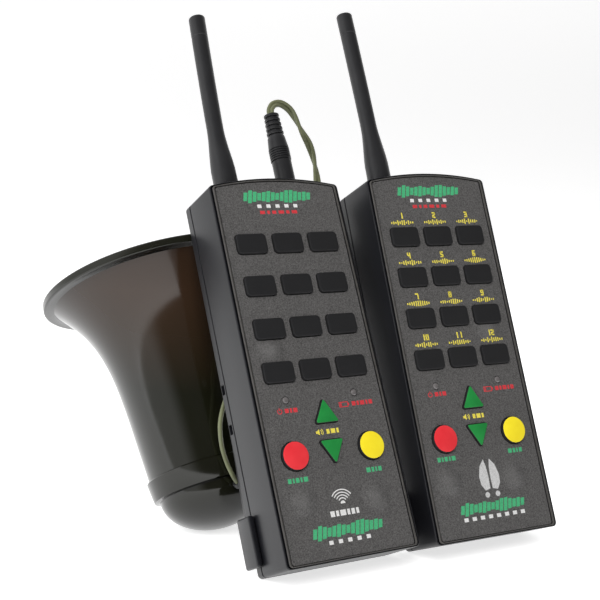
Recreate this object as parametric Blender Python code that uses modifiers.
"""Electronic game caller set: a receiver and a transmitter handset, and a horn speaker on a cord.

Metres, +Z up, standing on Z = 0. The handsets face -Y and lean back, and the horn stands behind
the receiver. Each handset is modelled in a frame of its own: X across the face, Y up the face and
Z out of it, with the origin at the middle of the face label's bottom edge.
"""

import bmesh
import bpy
from math import cos, pi, radians, sin
from mathutils import Vector

for old in list(bpy.data.objects):
    bpy.data.objects.remove(old, do_unlink=True)

# Clearances
GAP = 0.0003
BORE_GAP = 0.0002

# Handset case
CASE_WIDTH = 0.0715
CASE_BOTTOM = -0.0015
CASE_SIDE_TOP = 0.1815
CASE_ARCH = 0.0033
CASE_CORNER = 0.0026
CASE_WALL = 0.0022
CASE_EDGE = 0.0014
BEZEL_RISE = 0.0006
BEZEL_WIDTH = 0.0031
BEZEL_TOP = 0.0015
BACK_DEPTH = 0.030
BACK_SHELL_DEPTH = 0.006
FRONT_DEPTH = BACK_DEPTH - BACK_SHELL_DEPTH
LABEL_WIDTH = CASE_WIDTH - 2 * BEZEL_WIDTH
LABEL_SIDE_TOP = CASE_SIDE_TOP - BEZEL_TOP
LABEL_ARCH = 0.0027
LABEL_CORNER = 0.0012
LABEL_THICKNESS = 0.0005
FACE_BACK = -0.0026
SLOT_HEIGHTS = (0.0683, 0.0876)
SLOT_SIZE = (0.0045, 0.0017, 0.0012)

# Keys and lamps
KEY_WIDTH = 0.016
KEY_BETWEEN = 0.0038
KEY_SPACING = KEY_WIDTH + KEY_BETWEEN
KEY_COLUMNS = (-KEY_SPACING, 0.0, KEY_SPACING)
KEY_DROPS = (0.0309, 0.0520, 0.0732, 0.0943)
KEY_ROWS = [CASE_SIDE_TOP - drop for drop in KEY_DROPS]
KEY_HEIGHT = 0.010
KEY_CORNER = 0.002
KEY_RISE = 0.0012
KEY_TRAVEL = 0.0008
FLANGE_MARGIN = 0.0010
FLANGE_THICKNESS = 0.0008
ROUND_KEY_RADIUS = 0.00675
ROUND_KEY_RISE = 0.0018
POWER_KEY_AT = (-0.0205, 0.0478)
MUTE_KEY_AT = (0.0207, 0.0481)
VOLUME_HALF_WIDTH = 0.0066
VOLUME_TALL = 0.0120
VOLUME_CORNER = 0.0009
VOLUME_UP_BASE = 0.0612
VOLUME_DOWN_BASE = 0.0534
LAMP_RADIUS = 0.0016
LAMP_RISE = 0.0003
POWER_LAMP_AT = (-0.0190, 0.0739)
BATTERY_LAMP_AT = (0.0182, 0.0742)

# Inside the case
BOARD_INSET = 0.00575
BOARD_WIDTH = CASE_WIDTH - 2 * BOARD_INSET
BOARD_BOTTOM = 0.008
BOARD_TOP = CASE_SIDE_TOP - 0.0115
BOARD_THICKNESS = 0.0016
POST_RADIUS = 0.0028
POST_HEIGHT = 0.0024
POST_INSET = 0.0045
BATTERY_WIDTH = 0.0265
BATTERY_LENGTH = 0.0458
BATTERY_DEPTH = 0.0175
BATTERY_STUD_RADII = (0.0029, 0.0040)
BATTERY_STUD_LENGTH = 0.0027
BATTERY_STUD_SPACING = 0.0127
BATTERY_MIDDLE = 0.0365
WELL_WALL = 0.0015
WELL_ROOM = 0.0010

# Battery door, a channel that slides up the lower back
DOOR_BOTTOM = 0.0035
DOOR_TOP = 0.081
DOOR_SWELL_AT = 0.028
DOOR_SWELL = 0.0050
DOOR_SHOULDER = 0.0030
DOOR_SHOULDER_TOP = 0.072
DOOR_INSET = 0.00175
DOOR_WIDTH = CASE_WIDTH - 2 * DOOR_INSET
GRIP_BOTTOM = 0.0035
GRIP_TOP = 0.027
GRIP_REACH = 0.0095
GRIP_FRONT = GRIP_REACH - BACK_DEPTH
GRIP_THICKNESS = 0.0030

# Antenna and speaker plug, both on axes parallel to the face
STUB_DEPTH = -0.0140
ANTENNA_X = -0.0188
ANTENNA_SEAT = CASE_SIDE_TOP + 0.0031
ANTENNA_BASE_RADIUS = 0.0062
ANTENNA_BASE_TOP = ANTENNA_SEAT + 0.0114
ANTENNA_NECK_TOP = ANTENNA_BASE_TOP + 0.0170
ANTENNA_ROD_RADIUS = 0.0042
ANTENNA_TIP = ANTENNA_NECK_TOP + 0.0690
ANTENNA_STUD_RADIUS = 0.0030
ANTENNA_STUD_LENGTH = 0.0080
PLUG_X = 0.0153
PLUG_SEAT = CASE_SIDE_TOP + 0.0038
PLUG_BODY_RADIUS = 0.0049
PLUG_BODY_TOP = PLUG_SEAT + 0.0147
PLUG_COLLAR_TOP = PLUG_BODY_TOP + 0.0070
PLUG_NECK_TOP = PLUG_COLLAR_TOP + 0.0065
PLUG_RELIEF_TOP = PLUG_NECK_TOP + 0.0125
PLUG_RELIEF_RADII = (0.0044, 0.0039)
PLUG_RIBS = 5
PIN_RADIUS = 0.00175
PIN_LENGTH = 0.0140
JACK_RADIUS = PIN_RADIUS + 0.00245
JACK_NECK_RADIUS = PIN_RADIUS + 0.00125
JACK_LENGTH = 0.0160

# Where each handset stands: it leans back on its lower back edge, so that its depth lifts its
# face, and the two stand side by side
CASE_BETWEEN = 0.0086
RECEIVER_X = -0.01545
RECEIVER_Y = -0.10312
RECEIVER_AT = (RECEIVER_X, RECEIVER_Y, 0.42 * BACK_DEPTH + 0.00136)
RECEIVER_LEAN = radians(25.0)
TRANSMITTER_X = RECEIVER_X + CASE_WIDTH + CASE_BETWEEN
TRANSMITTER_AT = (TRANSMITTER_X, -0.10602, 0.377 * BACK_DEPTH + 0.00134)
TRANSMITTER_LEAN = radians(22.2)
TRANSMITTER_TURN = radians(-2.3)

# Horn speaker: frame at the joint between bell and driver housing, Z towards the mouth
HORN_BEHIND = 0.0738
HORN_AT = (-0.03625, RECEIVER_Y + 1.1 * BACK_DEPTH + HORN_BEHIND, 0.03204)
HORN_TILT = radians(28.0)
HORN_SIDE_LEAN = radians(-3.8)
BELL_LENGTH = 0.1040
BELL_THROAT_RADIUS = 0.0318
BELL_MOUTH_RADIUS = 0.0612
BELL_WALL = 0.0020
BELL_LIP_RADIUS = 0.0016
BELL_STRAIGHT_SHARE = 0.22
BELL_FLARE_POWER = 5
BAND_RADIUS = 0.0332
BAND_BOTTOM_RADIUS = 0.0318
BAND_HEIGHT = 0.0106
DOME_RADIUS = 0.0290
DOME_HEIGHT = 0.0203
HOUSING_WALL = 0.0022
SPEAKER_RIM = 0.0016
SPEAKER_CONE_DEPTH = 0.0070
SPEAKER_NECK_RADIUS = 0.0080
MAGNET_RADIUS = 0.0150
MAGNET_HEIGHT = 0.0090
GLAND_TURN = radians(-84.0)
GLAND_SIZE = (0.0090, 0.0080, 0.0100)
GLAND_HEIGHT = -0.0125

# Speaker cord: a twisted pair from the gland to the plug
CORD_DIAMETER = 0.0040
CORD_STEP = 0.0100
CORD_END_STEP = 0.0020

parts = bpy.data.collections.new("electronic_game_caller")
cutters = bpy.data.collections.new("cutters")
bpy.context.scene.collection.children.link(parts)
bpy.context.scene.collection.children.link(cutters)


def material(name, colour, roughness, metallic=0.0):
    made = bpy.data.materials.get(name) or bpy.data.materials.new(name)
    made.use_nodes = True
    shader = made.node_tree.nodes["Principled BSDF"]
    shader.inputs["Base Color"].default_value = (*colour, 1.0)
    shader.inputs["Roughness"].default_value = roughness
    shader.inputs["Metallic"].default_value = metallic
    made.diffuse_color = (*colour, 1.0)
    return made


CASE_BLACK = material("case_black", (0.012, 0.012, 0.014), 0.45)
LABEL_GREY = material("label_grey", (0.050, 0.048, 0.048), 0.55)
KEY_BLACK = material("key_black", (0.010, 0.010, 0.011), 0.60)
KEY_RED = material("key_red", (0.75, 0.030, 0.035), 0.50)
KEY_YELLOW = material("key_yellow", (0.90, 0.72, 0.020), 0.50)
KEY_GREEN = material("key_green", (0.013, 0.22, 0.038), 0.50)
LAMP_RED = material("lamp_red", (0.12, 0.020, 0.020), 0.15)
BOARD_GREEN = material("board_green", (0.010, 0.090, 0.035), 0.50)
BATTERY_SILVER = material("battery_silver", (0.45, 0.45, 0.47), 0.35, 0.8)
RUBBER_BLACK = material("rubber_black", (0.014, 0.014, 0.015), 0.65)
JACK_METAL = material("jack_metal", (0.60, 0.58, 0.55), 0.30, 1.0)
HORN_OLIVE = material("horn_olive", (0.060, 0.052, 0.030), 0.25)
MAGNET_GREY = material("magnet_grey", (0.10, 0.10, 0.11), 0.45, 0.6)
CONE_GREY = material("cone_grey", (0.030, 0.030, 0.032), 0.80)
CORD_OLIVE = material("cord_olive", (0.15, 0.16, 0.090), 0.55)


def empty(name, location, rotation=(0.0, 0.0, 0.0), parent=None):
    made = bpy.data.objects.new(name, None)
    made.location = location
    made.rotation_euler = rotation
    made.parent = parent
    parts.objects.link(made)
    return made


def put(made, paint, parent, location=(0.0, 0.0, 0.0), rotation=(0.0, 0.0, 0.0)):
    """Make an object a piece of the set: its collection, paint, parent and place."""
    for held in list(made.users_collection):
        held.objects.unlink(made)
    parts.objects.link(made)
    if paint:
        made.data.materials.clear()
        made.data.materials.append(paint)
    made.parent = parent
    made.location = location
    made.rotation_euler = rotation
    return made


def cutter(made, parent=None):
    for held in list(made.users_collection):
        held.objects.unlink(made)
    cutters.objects.link(made)
    made.parent = parent
    made.hide_render = True
    made.display_type = "WIRE"
    return made


def combine(target, other, operation):
    change = target.modifiers.new(operation.lower(), "BOOLEAN")
    change.operation = operation
    change.object = other
    change.solver = "EXACT"


def bake(made):
    """Turn an object with its modifiers into a plain mesh object of the same name and place."""
    bpy.context.view_layer.update()
    graph = bpy.context.evaluated_depsgraph_get()
    mesh = bpy.data.meshes.new_from_object(made.evaluated_get(graph))
    name = made.name
    plain = bpy.data.objects.new(name + "_baked", mesh)
    plain.matrix_world = made.matrix_world
    for held in made.users_collection:
        held.objects.link(plain)
    shape = bmesh.new()
    shape.from_mesh(mesh)
    bmesh.ops.remove_doubles(shape, verts=shape.verts, dist=0.000001)
    bmesh.ops.recalc_face_normals(shape, faces=shape.faces)
    shape.to_mesh(mesh)
    shape.free()
    bpy.data.objects.remove(made, do_unlink=True)
    plain.name = name
    return plain


def rounded(corners, radius, steps=2):
    """Round the corners of a convex outline, given anticlockwise."""
    points = []
    count = len(corners)
    for i, corner in enumerate(corners):
        here = Vector(corner)
        before = (Vector(corners[i - 1]) - here).normalized()
        after = (Vector(corners[(i + 1) % count]) - here).normalized()
        half = before.angle(after) / 2
        reach = radius / sin(half)
        centre = here + (before + after).normalized() * reach
        first = here + before * (reach * cos(half)) - centre
        last = here + after * (reach * cos(half)) - centre
        swing = first.angle_signed(last)
        for step in range(steps + 1):
            angle = -swing * step / steps
            turned_x = first.x * cos(angle) - first.y * sin(angle)
            turned_y = first.x * sin(angle) + first.y * cos(angle)
            points.append((centre.x + turned_x, centre.y + turned_y))
    return points


def rectangle(width, height, radius, middle=(0.0, 0.0), steps=1):
    x, y = middle
    corners = [
        (x - width / 2, y - height / 2),
        (x + width / 2, y - height / 2),
        (x + width / 2, y + height / 2),
        (x - width / 2, y + height / 2),
    ]
    return rounded(corners, radius, steps)


def circle(radius, middle=(0.0, 0.0), sides=14):
    x, y = middle
    steps = [2 * pi * i / sides for i in range(sides)]
    return [(x + radius * cos(angle), y + radius * sin(angle)) for angle in steps]


def arched(width, bottom, side_top, arch, radius):
    """A tall outline with round corners and a gently arched top."""
    half = width / 2
    crown = 4
    corners = [(-half, bottom), (half, bottom), (half, side_top)]
    outline = rounded(corners + [(-half, side_top)], radius)
    top = [i for i, point in enumerate(outline) if point[1] > side_top - radius - GAP]
    start = half - radius
    lifted = []
    for i, (x, y) in enumerate(outline):
        inside = min(1.0, abs(x) / start)
        lifted.append((x, y + arch * (1 - inside**2) if i in top else y))
        if i == top[len(top) // 2 - 1]:
            for step in range(1, 2 * crown):
                across = start * (1 - step / crown)
                rise = arch * (1 - (across / start) ** 2)
                lifted.append((across, side_top + rise))
    return lifted


def slab(name, loops, low, high):
    """A flat outline, with holes where the later loops say, between two heights."""
    curve = bpy.data.curves.new(name, "CURVE")
    curve.dimensions = "2D"
    curve.fill_mode = "BOTH"
    curve.extrude = (high - low) / 2
    for loop in loops:
        spline = curve.splines.new("POLY")
        spline.points.add(len(loop) - 1)
        for point, (x, y) in zip(spline.points, loop):
            point.co = (x, y, 0.0, 1.0)
        spline.use_cyclic_u = True
    made = bpy.data.objects.new(name, curve)
    made.location = (0.0, 0.0, (low + high) / 2)
    parts.objects.link(made)
    plain = bake(made)
    plain.data.transform(plain.matrix_world)
    plain.matrix_world.identity()
    plain.location = (0.0, 0.0, 0.0)
    return plain


def slabs(name, groups, low, high):
    """Several separate flat outlines in one cutting object."""
    joined = bmesh.new()
    for i, loop in enumerate(groups):
        piece = slab(f"{name}_{i}", [loop], low, high)
        joined.from_mesh(piece.data)
        bpy.data.objects.remove(piece, do_unlink=True)
    mesh = bpy.data.meshes.new(name)
    joined.to_mesh(mesh)
    joined.free()
    made = bpy.data.objects.new(name, mesh)
    parts.objects.link(made)
    return made


def turned(name, profile, steps=32):
    """A turned piece about Z. The profile is closed unless it starts and ends on the axis."""
    mesh = bpy.data.meshes.new(name)
    edges = [(i, i + 1) for i in range(len(profile) - 1)]
    if profile[0][0] > 0.0 or profile[-1][0] > 0.0:
        edges.append((len(profile) - 1, 0))
    mesh.from_pydata([(radius, 0.0, height) for radius, height in profile], edges, [])
    made = bpy.data.objects.new(name, mesh)
    parts.objects.link(made)
    screw = made.modifiers.new("turn", "SCREW")
    screw.angle = 2 * pi
    screw.steps = steps
    screw.render_steps = steps
    screw.use_merge_vertices = True
    screw.merge_threshold = 0.000001
    screw.use_smooth_shade = True
    return made


def box(name, size, centre):
    mesh = bpy.data.meshes.new(name)
    shape = bmesh.new()
    bmesh.ops.create_cube(shape, size=1.0)
    for vertex in shape.verts:
        vertex.co = [vertex.co[i] * size[i] + centre[i] for i in range(3)]
    shape.to_mesh(mesh)
    shape.free()
    made = bpy.data.objects.new(name, mesh)
    parts.objects.link(made)
    return made


def soften(made, width, segments=1, angle=radians(50)):
    bevel = made.modifiers.new("edges", "BEVEL")
    bevel.width = width
    bevel.segments = segments
    bevel.limit_method = "ANGLE"
    bevel.angle_limit = angle
    return made


ALONG_FACE = (radians(-90), 0.0, 0.0)


def triangle(base, tip, half_width, corner):
    corners = [(-half_width, base), (half_width, base), (0.0, tip)]
    if tip < base:
        corners.reverse()
    return rounded(corners, corner, steps=1)


VOLUME_UP_LOOP = triangle(
    -VOLUME_TALL / 2, VOLUME_TALL / 2, VOLUME_HALF_WIDTH, VOLUME_CORNER
)
VOLUME_DOWN_LOOP = [(-x, -y) for x, y in VOLUME_UP_LOOP]
CALL_KEY_LOOP = rectangle(KEY_WIDTH, KEY_HEIGHT, KEY_CORNER)
ROUND_KEY_LOOP = circle(ROUND_KEY_RADIUS)


def grown(loop, amount):
    """Move an outline outwards by the same amount all round."""
    points = [Vector(point) for point in loop]
    count = len(points)
    result = []
    for i, here in enumerate(points):
        first = (here - points[i - 1]).normalized()
        second = (points[(i + 1) % count] - here).normalized()
        normal_a = Vector((first.y, -first.x))
        normal_b = Vector((second.y, -second.x))
        middle = (normal_a + normal_b).normalized()
        result.append(tuple(here + middle * (amount / middle.dot(normal_a))))
    return result


def moved(loop, middle):
    return [(x + middle[0], y + middle[1]) for x, y in loop]


# Each key: name, outline, place on the face, height above the face, paint
VOLUME_UP_AT = (0.0, VOLUME_UP_BASE + VOLUME_TALL / 2)
VOLUME_DOWN_AT = (0.0, VOLUME_DOWN_BASE - VOLUME_TALL / 2)
KEYS = []
for row, height in enumerate(KEY_ROWS):
    for column, across in enumerate(KEY_COLUMNS):
        number = row * len(KEY_COLUMNS) + column + 1
        place = (across, height)
        KEYS.append((f"call_key_{number:02d}", CALL_KEY_LOOP, place, KEY_RISE, KEY_BLACK))
KEYS.append(("on_off_key", ROUND_KEY_LOOP, POWER_KEY_AT, ROUND_KEY_RISE, KEY_RED))
KEYS.append(("mute_key", ROUND_KEY_LOOP, MUTE_KEY_AT, ROUND_KEY_RISE, KEY_YELLOW))
KEYS.append(("volume_up_key", VOLUME_UP_LOOP, VOLUME_UP_AT, KEY_RISE, KEY_GREEN))
KEYS.append(("volume_down_key", VOLUME_DOWN_LOOP, VOLUME_DOWN_AT, KEY_RISE, KEY_GREEN))
LAMPS = (("power_lamp", POWER_LAMP_AT), ("low_battery_lamp", BATTERY_LAMP_AT))

FACE_OPENINGS = [moved(grown(loop, GAP), place) for _, loop, place, _, _ in KEYS]
FACE_OPENINGS += [circle(LAMP_RADIUS + GAP, place, 8) for _, place in LAMPS]
KEY_MESHES = {}


def key_mesh(loop, rise):
    """A keycap with a flange behind the face that keeps it in, shared by all keys alike."""
    shape = (len(loop), loop[0], rise)
    if shape not in KEY_MESHES:
        flange_top = FACE_BACK - GAP
        cap = slab("key_cap", [loop], flange_top - FLANGE_THICKNESS, rise)
        soften(cap, 0.0005, 1, radians(60))
        cap = bake(cap)
        flange_low = flange_top - FLANGE_THICKNESS
        flange_loop = grown(loop, FLANGE_MARGIN)
        flange = slab("key_flange", [flange_loop], flange_low - 0.0001, flange_top)
        combine(cap, flange, "UNION")
        cap = bake(cap)
        bpy.data.objects.remove(flange, do_unlink=True)
        KEY_MESHES[shape] = cap.data
        bpy.data.objects.remove(cap, do_unlink=True)
    return KEY_MESHES[shape]


def make_keys(prefix, frame):
    for name, loop, (x, y), rise, paint in KEYS:
        shared = key_mesh(loop, rise)
        mesh = bpy.data.meshes.get(f"{paint.name}_{shared.name}")
        if mesh is None:
            mesh = shared.copy()
            mesh.name = f"{paint.name}_{shared.name}"
            mesh.materials.clear()
            mesh.materials.append(paint)
        put(bpy.data.objects.new(f"{prefix}_{name}", mesh), None, frame, (x, y, 0.0))


def make_lamps(prefix, frame):
    back = FACE_BACK - GAP
    for name, (x, y) in LAMPS:
        profile = [
            (0.0, LAMP_RISE + 0.0005),
            (LAMP_RADIUS * 0.7, LAMP_RISE + 0.0003),
            (LAMP_RADIUS, LAMP_RISE - 0.0002),
            (LAMP_RADIUS, back),
            (LAMP_RADIUS + 0.0005, back),
            (LAMP_RADIUS + 0.0005, back - 0.0010),
            (0.0, back - 0.0010),
        ]
        put(turned(f"{prefix}_{name}", profile, 12), LAMP_RED, frame, (x, y, 0.0))


def arch_at(x):
    return CASE_ARCH * (1 - min(1.0, abs(x) / (CASE_WIDTH / 2 - CASE_CORNER)) ** 2)


def make_front_shell(prefix, frame, with_jack):
    outer = arched(CASE_WIDTH, CASE_BOTTOM, CASE_SIDE_TOP, CASE_ARCH, CASE_CORNER)
    shell = slab(f"{prefix}_front_shell", [outer], -FRONT_DEPTH, BEZEL_RISE)
    soften(shell, CASE_EDGE, 2, radians(60))
    shell = bake(shell)
    for vertex in shell.data.vertices:
        if vertex.co.z < -FRONT_DEPTH / 2:
            vertex.co.z = -FRONT_DEPTH
    cavity_loop = grown(outer, -CASE_WALL)
    cavity = slab(f"{prefix}_front_cavity", [cavity_loop], -FRONT_DEPTH - 0.001, FACE_BACK)
    recess_loop = arched(
        LABEL_WIDTH + 2 * GAP,
        -GAP,
        LABEL_SIDE_TOP + GAP,
        LABEL_ARCH,
        LABEL_CORNER,
    )
    recess_floor = -LABEL_THICKNESS - GAP
    recess = slab(f"{prefix}_label_recess", [recess_loop], recess_floor, BEZEL_RISE + 0.001)
    holes = slabs(f"{prefix}_face_holes", FACE_OPENINGS, FACE_BACK - 0.001, 0.0)
    combine(shell, cutter(cavity), "DIFFERENCE")
    combine(shell, cutter(recess), "DIFFERENCE")
    combine(shell, cutter(holes), "DIFFERENCE")
    bores = [(ANTENNA_X, ANTENNA_STUD_RADIUS)]
    if with_jack:
        bores.append((PLUG_X, JACK_NECK_RADIUS))
    for x, radius in bores:
        reach = CASE_SIDE_TOP + 0.010
        profile = [(0.0, reach), (radius + GAP, reach)]
        profile += [(radius + GAP, CASE_SIDE_TOP - 0.006), (0.0, CASE_SIDE_TOP - 0.006)]
        bore = cutter(turned(f"{prefix}_bore", profile, 20))
        bore.location = (x, 0.0, STUB_DEPTH)
        bore.rotation_euler = ALONG_FACE
        combine(shell, bore, "DIFFERENCE")
    post_x = BOARD_WIDTH / 2 - POST_INSET
    for i, y in enumerate((BOARD_BOTTOM + POST_INSET, BOARD_TOP - POST_INSET)):
        for j, x in enumerate((-post_x, post_x)):
            top = FACE_BACK + 0.0004
            loop = circle(POST_RADIUS, (x, y), 8)
            post = slab(f"{prefix}_post_{i}{j}", [loop], FACE_BACK - POST_HEIGHT, top)
            combine(shell, cutter(post), "UNION")
    bpy.context.view_layer.update()
    return put(bake(shell), CASE_BLACK, frame)


def make_label(prefix, frame):
    outline = arched(LABEL_WIDTH, 0.0, LABEL_SIDE_TOP, LABEL_ARCH, LABEL_CORNER)
    loops = [outline] + FACE_OPENINGS
    return put(slab(f"{prefix}_face_label", loops, -LABEL_THICKNESS, 0.0), LABEL_GREY, frame)


def make_back_shell(prefix, frame):
    outer = arched(CASE_WIDTH, CASE_BOTTOM, CASE_SIDE_TOP, CASE_ARCH, CASE_CORNER)
    front = -FRONT_DEPTH - GAP
    shell = slab(f"{prefix}_back_shell", [outer], -BACK_DEPTH, front)
    soften(shell, CASE_EDGE, 2, radians(60))
    shell = bake(shell)
    for vertex in shell.data.vertices:
        if vertex.co.z > (front - BACK_DEPTH) / 2:
            vertex.co.z = front
    floor = -BACK_DEPTH + CASE_WALL
    hollow_loop = grown(outer, -CASE_WALL)
    hollow = slab(f"{prefix}_back_hollow", [hollow_loop], floor, front + 0.001)
    combine(shell, cutter(hollow), "DIFFERENCE")
    inner_width = BATTERY_WIDTH + 2 * WELL_ROOM
    inner_length = BATTERY_LENGTH + BATTERY_STUD_LENGTH + 2 * WELL_ROOM
    middle = BATTERY_MIDDLE + BATTERY_STUD_LENGTH / 2
    inner_floor = -BACK_DEPTH + BATTERY_DEPTH + 2 * GAP
    walls = (inner_width + 2 * WELL_WALL, inner_length + 2 * WELL_WALL)
    well_top = inner_floor + WELL_WALL
    well_depth = well_top - floor + 0.0005
    size = (walls[0], walls[1], well_depth)
    well = box(f"{prefix}_well", size, (0.0, middle, well_top - well_depth / 2))
    combine(shell, cutter(well), "UNION")
    room = inner_floor + BACK_DEPTH + 0.001
    centre = (0.0, middle, inner_floor - room / 2)
    inside = box(f"{prefix}_well_room", (inner_width, inner_length, room), centre)
    combine(shell, cutter(inside), "DIFFERENCE")
    for i, y in enumerate(SLOT_HEIGHTS):
        for side in (-1, 1):
            length, width, depth = SLOT_SIZE
            centre = (side * CASE_WIDTH / 2, y, -FRONT_DEPTH - 0.003)
            slot = box(f"{prefix}_slot_{i}{side}", (2 * depth, length, width), centre)
            combine(shell, cutter(slot), "DIFFERENCE")
    return put(bake(shell), CASE_BLACK, frame)


def make_board(prefix, frame):
    middle = (0.0, (BOARD_BOTTOM + BOARD_TOP) / 2)
    loop = rectangle(BOARD_WIDTH, BOARD_TOP - BOARD_BOTTOM, 0.003, middle)
    top = FACE_BACK - POST_HEIGHT - GAP
    board = slab(f"{prefix}_circuit_board", [loop], top - BOARD_THICKNESS, top)
    chip_low = top - BOARD_THICKNESS - 0.0016
    for i, y in enumerate((0.095, 0.125, 0.150)):
        chip_loop = rectangle(0.014, 0.010, 0.0005, (0.006 * (i - 1), y))
        chip_top = top - BOARD_THICKNESS / 2
        chip = slab(f"{prefix}_chip_{i}", [chip_loop], chip_low, chip_top)
        combine(board, cutter(chip), "UNION")
    return put(bake(board), BOARD_GREEN, frame)


def make_battery(prefix, frame):
    bottom = -BACK_DEPTH + GAP
    size = (BATTERY_WIDTH, BATTERY_LENGTH, BATTERY_DEPTH)
    centre = (0.0, BATTERY_MIDDLE, bottom + BATTERY_DEPTH / 2)
    block = soften(box(f"{prefix}_battery", size, centre), 0.0018, 2)
    block = bake(block)
    for side, radius in zip((-1, 1), BATTERY_STUD_RADII):
        profile = [(0.0, BATTERY_STUD_LENGTH), (radius, BATTERY_STUD_LENGTH)]
        profile += [(radius, -0.0005), (0.0, -0.0005)]
        stud = cutter(turned(f"{prefix}_stud_{side}", profile, 12))
        x = side * BATTERY_STUD_SPACING / 2
        stud.location = (x, BATTERY_MIDDLE + BATTERY_LENGTH / 2, centre[2])
        stud.rotation_euler = ALONG_FACE
        combine(block, stud, "UNION")
    return put(bake(block), BATTERY_SILVER, frame)


def make_door(prefix, frame):
    """Cover over the battery well, a channel whose cheeks grip both sides of the case."""
    inside = BACK_DEPTH + GAP
    profile = [
        (inside, DOOR_BOTTOM),
        (inside + 0.0012, DOOR_BOTTOM),
        (BACK_DEPTH + DOOR_SHOULDER + 0.0006, DOOR_BOTTOM + 0.006),
        (BACK_DEPTH + DOOR_SWELL, DOOR_SWELL_AT - 0.007),
        (BACK_DEPTH + DOOR_SWELL, DOOR_SWELL_AT + 0.007),
        (BACK_DEPTH + DOOR_SHOULDER + 0.0006, DOOR_SWELL_AT + 0.024),
        (BACK_DEPTH + DOOR_SHOULDER, DOOR_SHOULDER_TOP),
        (inside + 0.0012, DOOR_TOP),
        (inside, DOOR_TOP),
    ]
    plate = slab(f"{prefix}_battery_door", [profile], -DOOR_WIDTH / 2, DOOR_WIDTH / 2)
    for vertex in plate.data.vertices:
        depth, height, across = vertex.co
        vertex.co = (across, height, -depth)
    plate.data.flip_normals()
    shape = bmesh.new()
    shape.from_mesh(plate.data)
    bmesh.ops.recalc_face_normals(shape, faces=shape.faces)
    shape.to_mesh(plate.data)
    shape.free()
    soften(plate, 0.0008, 1, radians(60))
    plate = bake(plate)
    outside = CASE_WIDTH / 2 + GAP
    bottom = BACK_DEPTH + DOOR_SHOULDER
    for side in (-1, 1):
        depth = bottom + GRIP_FRONT
        size = (GRIP_THICKNESS, GRIP_TOP - GRIP_BOTTOM, depth)
        x = side * (outside + GRIP_THICKNESS / 2)
        y = (GRIP_TOP + GRIP_BOTTOM) / 2
        cheek = box(f"{prefix}_cheek_{side}", size, (x, y, -bottom + depth / 2))
        soften(cheek, 0.0008, 1)
        combine(plate, cutter(cheek), "UNION")
        reach = outside + GRIP_THICKNESS - 0.001 - DOOR_WIDTH / 2 + 0.004
        tie_size = (reach, GRIP_TOP - GRIP_BOTTOM - 0.002, bottom - inside - 0.0008)
        tie_x = side * (DOOR_WIDTH / 2 - 0.004 + reach / 2)
        tie_z = -inside - tie_size[2] / 2
        tie = box(f"{prefix}_tie_{side}", tie_size, (tie_x, y, tie_z))
        combine(plate, cutter(tie), "UNION")
    return put(bake(plate), CASE_BLACK, frame)


def make_antenna(prefix, frame):
    neck = ANTENNA_NECK_TOP - ANTENNA_BASE_TOP
    flare = ANTENNA_BASE_RADIUS - ANTENNA_ROD_RADIUS
    profile = [(0.0, ANTENNA_TIP), (ANTENNA_ROD_RADIUS - 0.0012, ANTENNA_TIP)]
    profile.append((ANTENNA_ROD_RADIUS, ANTENNA_TIP - 0.0014))
    profile.append((ANTENNA_ROD_RADIUS, ANTENNA_NECK_TOP))
    for step in (0.75, 0.5, 0.25):
        width = ANTENNA_ROD_RADIUS + flare * (0.5 + 0.5 * cos(pi * step))
        profile.append((width, ANTENNA_BASE_TOP + neck * step))
    profile.append((ANTENNA_BASE_RADIUS, ANTENNA_BASE_TOP))
    profile.append((ANTENNA_BASE_RADIUS, ANTENNA_SEAT + 0.0006))
    profile.append((ANTENNA_BASE_RADIUS - 0.0006, ANTENNA_SEAT))
    profile.append((ANTENNA_STUD_RADIUS, ANTENNA_SEAT))
    profile.append((ANTENNA_STUD_RADIUS, ANTENNA_SEAT - ANTENNA_STUD_LENGTH))
    profile.append((0.0, ANTENNA_SEAT - ANTENNA_STUD_LENGTH))
    rod = turned(f"{prefix}_antenna", profile, 16)
    return put(rod, RUBBER_BLACK, frame, (ANTENNA_X, 0.0, STUB_DEPTH), ALONG_FACE)


def make_jack(prefix, frame):
    bore = PIN_RADIUS + BORE_GAP
    top = CASE_SIDE_TOP + arch_at(PLUG_X)
    shoulder = top - CASE_WALL - 2 * GAP
    low = shoulder - JACK_LENGTH
    profile = [
        (bore, top - 0.0002),
        (JACK_NECK_RADIUS, top - 0.0002),
        (JACK_NECK_RADIUS, shoulder),
        (JACK_RADIUS, shoulder),
        (JACK_RADIUS, low),
        (bore, low),
    ]
    jack = turned(f"{prefix}_speaker_jack", profile, 16)
    return put(jack, JACK_METAL, frame, (PLUG_X, 0.0, STUB_DEPTH), ALONG_FACE)


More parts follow.
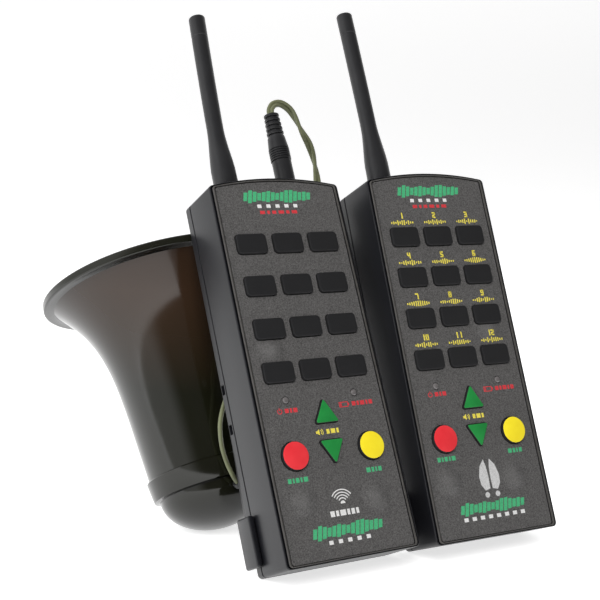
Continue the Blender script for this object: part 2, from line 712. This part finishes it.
def make_plug(frame):
    profile = [(0.0, PLUG_RELIEF_TOP)]
    thick, thin = PLUG_RELIEF_RADII
    pitch = (PLUG_RELIEF_TOP - PLUG_NECK_TOP) / PLUG_RIBS
    for i in range(PLUG_RIBS):
        top = PLUG_RELIEF_TOP - i * pitch
        width = thin + (thick - thin) * (i + 1) / PLUG_RIBS
        profile.append((width, top))
        profile.append((width, top - 0.6 * pitch))
        profile.append((width - 0.0007, top - 0.8 * pitch))
    profile.append((thick, PLUG_NECK_TOP))
    profile.append((PLUG_BODY_RADIUS + 0.0003, PLUG_COLLAR_TOP))
    profile.append((PLUG_BODY_RADIUS + 0.0003, PLUG_BODY_TOP))
    profile.append((PLUG_BODY_RADIUS, PLUG_BODY_TOP - 0.0004))
    profile.append((PLUG_BODY_RADIUS, PLUG_SEAT + 0.0005))
    profile.append((PLUG_BODY_RADIUS - 0.0005, PLUG_SEAT))
    profile.append((PIN_RADIUS, PLUG_SEAT))
    profile.append((PIN_RADIUS, PLUG_SEAT - PIN_LENGTH + 0.0015))
    profile.append((0.0, PLUG_SEAT - PIN_LENGTH))
    plug = turned("cord_plug", profile, 16)
    return put(plug, RUBBER_BLACK, frame, (PLUG_X, 0.0, STUB_DEPTH), ALONG_FACE)


def make_handset(prefix, frame, with_jack):
    make_front_shell(prefix, frame, with_jack)
    make_back_shell(prefix, frame)
    make_label(prefix, frame)
    make_board(prefix, frame)
    make_battery(prefix, frame)
    make_door(prefix, frame)
    make_antenna(prefix, frame)
    make_keys(prefix, frame)
    make_lamps(prefix, frame)


receiver = empty("receiver_frame", RECEIVER_AT, (pi / 2 - RECEIVER_LEAN, 0.0, 0.0))
transmitter_turn = (pi / 2 - TRANSMITTER_LEAN, 0.0, TRANSMITTER_TURN)
transmitter = empty("transmitter_frame", TRANSMITTER_AT, transmitter_turn)
make_handset("receiver", receiver, True)
make_handset("transmitter", transmitter, False)
make_jack("receiver", receiver)
make_plug(receiver)

# Horn speaker
horn = empty("horn_frame", HORN_AT, (-HORN_TILT, HORN_SIDE_LEAN, 0.0))


def bell_radius(share):
    rise = BELL_STRAIGHT_SHARE * share
    rise += (1 - BELL_STRAIGHT_SHARE) * share**BELL_FLARE_POWER
    return BELL_THROAT_RADIUS + (BELL_MOUTH_RADIUS - BELL_THROAT_RADIUS) * rise


BELL_SHARES = [0.0, 0.3, 0.5, 0.65, 0.77, 0.87, 0.945, 1.0]
outer_wall = [(bell_radius(t), GAP + t * (BELL_LENGTH - GAP)) for t in BELL_SHARES]
lip = []
for step in range(6):
    angle = radians(-100 + 280 * step / 5)
    lip_middle = BELL_MOUTH_RADIUS - BELL_WALL / 2 + BELL_LIP_RADIUS * 0.8
    x = lip_middle + BELL_LIP_RADIUS * cos(angle)
    lip.append((x, BELL_LENGTH + BELL_LIP_RADIUS * sin(angle)))
bell_profile = [(radius - BELL_WALL, height) for radius, height in outer_wall[:-1]]
bell_profile += reversed(lip)
bell_profile += reversed(outer_wall[:-1])
put(turned("horn_bell", bell_profile, 36), HORN_OLIVE, horn)


def dome(radius, height, base, count):
    """Points of a rounded end, from its rim down to the axis."""
    points = []
    for step in range(count + 1):
        angle = pi / 2 * step / count
        points.append((max(0.0, radius * cos(angle)), base - height * sin(angle)))
    points[-1] = (0.0, base - height)
    return points


housing_outside = [(BAND_RADIUS, 0.0), (BAND_BOTTOM_RADIUS, -BAND_HEIGHT)]
housing_outside += dome(DOME_RADIUS, DOME_HEIGHT, -BAND_HEIGHT - 0.0004, 6)
inner_radius = DOME_RADIUS - HOUSING_WALL
inner_height = DOME_HEIGHT - HOUSING_WALL
housing_inside = list(reversed(dome(inner_radius, inner_height, -BAND_HEIGHT, 4)))
housing_inside.append((inner_radius, 0.0))
housing_profile = housing_outside + housing_inside
housing = turned("driver_housing", housing_profile, 36)
put(housing, HORN_OLIVE, horn)

seat_radius = inner_radius - GAP
cone_low = -SPEAKER_RIM - SPEAKER_CONE_DEPTH
cone_profile = [
    (0.0, cone_low + 0.0030),
    (SPEAKER_NECK_RADIUS * 0.6, cone_low + 0.0022),
    (SPEAKER_NECK_RADIUS, cone_low + 0.0008),
    (seat_radius * 0.80, -SPEAKER_RIM),
    (seat_radius * 0.90, -SPEAKER_RIM + 0.0010),
    (seat_radius, -SPEAKER_RIM + 0.0006),
    (seat_radius, -SPEAKER_RIM - 0.0010),
    (seat_radius * 0.80, -SPEAKER_RIM - 0.0012),
    (SPEAKER_NECK_RADIUS, cone_low - 0.0006),
    (0.0, cone_low - 0.0006),
]
put(turned("speaker_cone", cone_profile, 24), CONE_GREY, horn)

magnet_top = cone_low - 0.0006 - GAP
magnet_profile = [
    (0.0, magnet_top),
    (MAGNET_RADIUS, magnet_top),
    (MAGNET_RADIUS, magnet_top - MAGNET_HEIGHT),
    (0.0, magnet_top - MAGNET_HEIGHT),
]
put(turned("driver_magnet", magnet_profile, 20), MAGNET_GREY, horn)

gland_radius = BAND_RADIUS - 0.0010
gland_centre = (gland_radius, 0.0, 0.0)
gland = soften(box("cord_gland", GLAND_SIZE, gland_centre), 0.0010, 1)
gland = bake(gland)
clear_profile = [(0.0, 0.010)]
for radius, height in housing_outside[:-1]:
    clear_profile.append((radius + GAP, height))
clear_profile[1] = (BAND_RADIUS + GAP, 0.010)
clear_profile.append((0.0, -BAND_HEIGHT - DOME_HEIGHT - 0.001))
clear = cutter(turned("gland_clearance", clear_profile, 36))
clear.rotation_euler = (0.0, 0.0, -GLAND_TURN)
clear.location = (0.0, 0.0, -GLAND_HEIGHT)
combine(gland, clear, "DIFFERENCE")
gland = bake(gland)
put(gland, RUBBER_BLACK, horn, (0.0, 0.0, GLAND_HEIGHT), (0.0, 0.0, GLAND_TURN))

# Speaker cord

def smooth(route, step):
    """Points every step or so along a smooth curve through the route's own points."""
    points = [Vector(point) for point in route]
    first = points[0] * 2 - points[1]
    last = points[-1] * 2 - points[-2]
    padded = [first] + points + [last]
    fine = []
    for i in range(1, len(padded) - 2):
        a, b, c, d = padded[i - 1 : i + 3]
        for k in range(40):
            t = k / 40
            lift = (2 * a - 5 * b + 4 * c - d) * t**2 + (3 * b - a - 3 * c + d) * t**3
            fine.append((2 * b + (c - a) * t + lift) / 2)
    fine.append(points[-1])
    total = sum((q - p).length for p, q in zip(fine, fine[1:]))
    count = round(total / step)
    wanted = [total * i / count for i in range(1, count)]
    wanted = [CORD_END_STEP] + wanted + [total - CORD_END_STEP]
    kept = [fine[0]]
    walked = 0.0
    for p, q in zip(fine, fine[1:]):
        walked += (q - p).length
        if wanted and walked >= wanted[0]:
            kept.append(q)
            wanted.pop(0)
    if wanted:
        kept.pop()
    kept.append(fine[-1])
    return kept


def cord(name, route):
    curve = bpy.data.curves.new(name, "CURVE")
    curve.dimensions = "3D"
    curve.bevel_depth = CORD_DIAMETER / 2
    curve.bevel_resolution = 2
    curve.use_fill_caps = True
    spline = curve.splines.new("POLY")
    points = smooth(route, CORD_STEP)
    spline.points.add(len(points) - 1)
    for point, place in zip(spline.points, points):
        point.co = (*place, 1.0)
    made = bpy.data.objects.new(name, curve)
    parts.objects.link(made)
    return put(bake(made), CORD_OLIVE, None)


# The route from the gland up behind the receiver and over into the plug
CORD_ROUTE = [
    (-0.03850, -0.03218, 0.03338),
    (-0.03959, -0.03228, 0.03452),
    (-0.04211, -0.03300, 0.03826),
    (-0.04420, -0.03120, 0.04409),
    (-0.04704, -0.03180, 0.05251),
    (-0.04820, -0.03220, 0.06161),
    (-0.04729, -0.03180, 0.06783),
    (-0.04464, -0.03050, 0.07422),
    (-0.03903, -0.02580, 0.08257),
    (-0.03445, -0.02086, 0.09146),
    (-0.02345, -0.01449, 0.10393),
    (-0.00945, -0.00830, 0.11650),
    (0.00455, -0.00248, 0.12923),
    (0.01755, 0.00235, 0.14242),
    (0.02655, 0.00661, 0.15699),
    (0.03085, 0.00965, 0.16991),
    (0.03175, 0.01178, 0.17960),
    (0.02925, 0.01128, 0.19020),
    (0.02515, 0.00938, 0.19810),
    (0.02005, 0.00808, 0.20480),
    (0.01625, 0.00928, 0.21220),
    (0.01285, 0.00958, 0.21650),
    (0.00795, 0.00928, 0.21900),
    (0.00355, 0.00848, 0.21870),
    (0.00085, 0.00708, 0.21660),
    (-0.00005, 0.00612, 0.21480),
    (-0.00015, 0.00540, 0.21328),
]
cord("cord_run", CORD_ROUTE)
